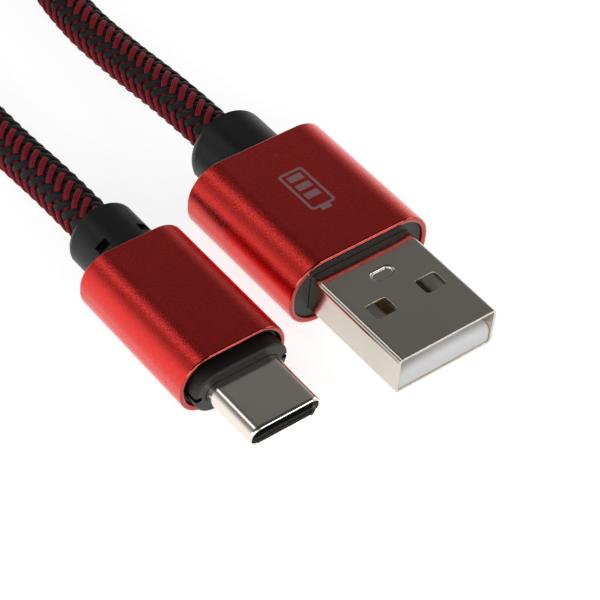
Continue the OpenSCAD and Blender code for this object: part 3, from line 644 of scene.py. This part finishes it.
# ------------------------------------------------------------------- stage, light

FLOOR_SIZE, FLOOR_GREY, FLOOR_GLOW = 6.0, 0.50, 0.82

# Brightness of the studio by height: 1 is white, and the last is straight above
STUDIO = ((0.05, 1), (0.20, 0.72), (0.34, 0.44), (0.56, 0.18), (0.76, 0.165), (0.90, 0.04))
STUDIO_TILT = (0.06, 0.14, 1.0)

# Name, direction from the cable, distance, size and power
SOFTBOXES = (
    ("strip", (-0.53, -0.26, 0.81), 0.9, (0.18, 0.5), 0.42),
    ("front_fill", (0.84, -0.34, 0.42), 1.0, (0.6, 0.4), 1.8),
    ("left_fill", (0.3, -0.85, 0.42), 1.0, (0.6, 0.4), 2.5),
    ("right_fill", (0.2, 0.88, 0.42), 1.0, (0.6, 0.4), 1.4),
    ("rim", (0.71, 0.47, 0.50), 1.0, (0.3, 0.2), 1.1),
)


def add_floor():
    """A white floor whose glow only the camera, reflections and clear pieces see."""
    bpy.ops.mesh.primitive_plane_add(size=FLOOR_SIZE, location=(0, 0, 0))
    floor = bpy.context.object
    floor.name = "floor"
    p = Paint("white_floor")
    p.tree.nodes.remove(p.shader)
    seen = p.node("ShaderNodeLightPath", out="Is Camera Ray")
    mirrored = p.node("ShaderNodeLightPath", out="Is Glossy Ray")
    through = p.node("ShaderNodeLightPath", out="Is Transmission Ray")
    straight = p.maths("MAXIMUM", p.maths("MAXIMUM", seen, mirrored), through)
    matt = p.node("ShaderNodeBsdfDiffuse", {}, {"Color": (FLOOR_GREY,) * 3})
    glow = p.node("ShaderNodeEmission", {},
                  {"Color": (1, 1, 1), "Strength": FLOOR_GLOW * straight})
    both = p.node("ShaderNodeAddShader", {}, {0: matt, 1: glow})
    p.join(both, p.tree.nodes["Material Output"].inputs["Surface"])
    floor.data.materials.append(p.material)


def add_world():
    """A studio that is white round the horizon, further up on the far side, and dim above."""
    world = bpy.data.worlds.new("studio")
    scene.world = world
    world.use_nodes = True
    tree = world.node_tree
    back = tree.nodes["Background"]
    back.inputs["Color"].default_value = (1, 1, 1, 1)
    way = tree.nodes.new("ShaderNodeTexCoord")
    height = tree.nodes.new("ShaderNodeVectorMath")
    height.operation = "DOT_PRODUCT"
    height.inputs[1].default_value = STUDIO_TILT
    ramp = tree.nodes.new("ShaderNodeValToRGB")
    tree.links.new(way.outputs["Generated"], height.inputs[0])
    tree.links.new(height.outputs["Value"], ramp.inputs[0])
    tree.links.new(ramp.outputs["Color"], back.inputs["Strength"])
    stops = ramp.color_ramp.elements
    (low, bright), *between, (high, dim) = STUDIO
    stops[0].position, stops[1].position = low, high
    stops[0].color, stops[1].color = (bright, bright, bright, 1), (dim, dim, dim, 1)
    for place, level in between:
        stops.new(place).color = (level, level, level, 1)


def add_softbox(name, way, distance, size, power):
    data = bpy.data.lights.new(name, "AREA")
    data.shape = "RECTANGLE"
    data.size, data.size_y = size
    data.energy = power
    lamp = bpy.data.objects.new(name, data)
    scene.collection.objects.link(lamp)
    way = Vector(way).normalized()
    lamp.matrix_world = (Matrix.Translation(way * distance)
                         @ way.to_track_quat("Z", "Y").to_matrix().to_4x4())


# ------------------------------------------------------------------------- build

add_camera()
scene.view_settings.view_transform = "Standard"
add_cord()

red_metal = anodised("red_anodised", (0.72, 0.026, 0.020), (0.82, 0.033, 0.026), 0.25, 0.3, 0.8)
red_rim = anodised("machined_rim", (0.42, 0.050, 0.042), (0.48, 0.058, 0.048), 0.12, 0.12, 0.1)
nickel_plate = nickel("nickel_plate", (0.64, 0.58, 0.51), (0.71, 0.66, 0.59), 0.16)
satin_nickel = nickel("satin_nickel", (0.85, 0.78, 0.70), (0.92, 0.86, 0.79), 0.15)
white = plastic("white_plastic", (0.86, 0.86, 0.87), (0.91, 0.91, 0.92), 0.35, 3000, 0.00002)
black_plastic = plastic("black_plastic", (0.003, 0.003, 0.003), (0.007, 0.007, 0.007),
                        0.36, 9000, 0.00009)
core_plastic = plastic("core_plastic", (0.012, 0.012, 0.014), (0.02, 0.02, 0.022),
                       0.35, 3000, 0.00002)
potting = plastic("potting", (0.07, 0.07, 0.075), (0.11, 0.11, 0.115), 0.5, 2500, 0.00005)
rubber = plastic("relief_rubber", (0.002, 0.002, 0.002), (0.004, 0.004, 0.004),
                 0.36, 6000, 0.00004, shine=0.4)
gold = metal("contact_gold", (0.60, 0.47, 0.28), (0.70, 0.56, 0.34), 0.10)
spring = metal("spring_steel", (0.50, 0.50, 0.50), (0.62, 0.61, 0.60), 0.25)
tin = metal("solder", (0.60, 0.61, 0.63), (0.72, 0.73, 0.75), 0.3)
etched = plastic("etched_mark", (0.25, 0.12, 0.13), (0.29, 0.145, 0.155), 0.5, 6000, 0.00003)
board = plastic("board", (0.015, 0.10, 0.045), (0.03, 0.16, 0.07), 0.3, 2500, 0.00002)
chip = plastic("chip", (0.03, 0.03, 0.033), (0.05, 0.05, 0.055), 0.4, 3000, 0.00002)
insulation = plastic("wire_insulation", (0.45, 0.06, 0.05), (0.60, 0.10, 0.08),
                     0.35, 3000, 0.00002)
# What the pieces of the part's source are made of, by their material slots
FINISHES = {
    "red_anodised": red_metal, "nickel_shell": nickel_plate, "white_plastic": white,
    "black_plastic": black_plastic, "core_plastic": core_plastic, "inner_mould": potting,
    "relief_rubber": rubber, "contact_gold": gold, "spring_steel": spring, "solder": tin,
    "board": board, "resistor": chip, "wire_insulation": insulation, "braid": rubber,
}
for row in frame["record"]["subparts"]:
    mesh = nodes[row["node"]].data
    mesh.materials.clear()
    mesh.materials.append(FINISHES[row["material_slot"]])

type_a_shell()
type_c_shell()
sleeves()
charge_mark()

add_floor()
add_world()
for softbox in SOFTBOXES:
    add_softbox(*softbox)
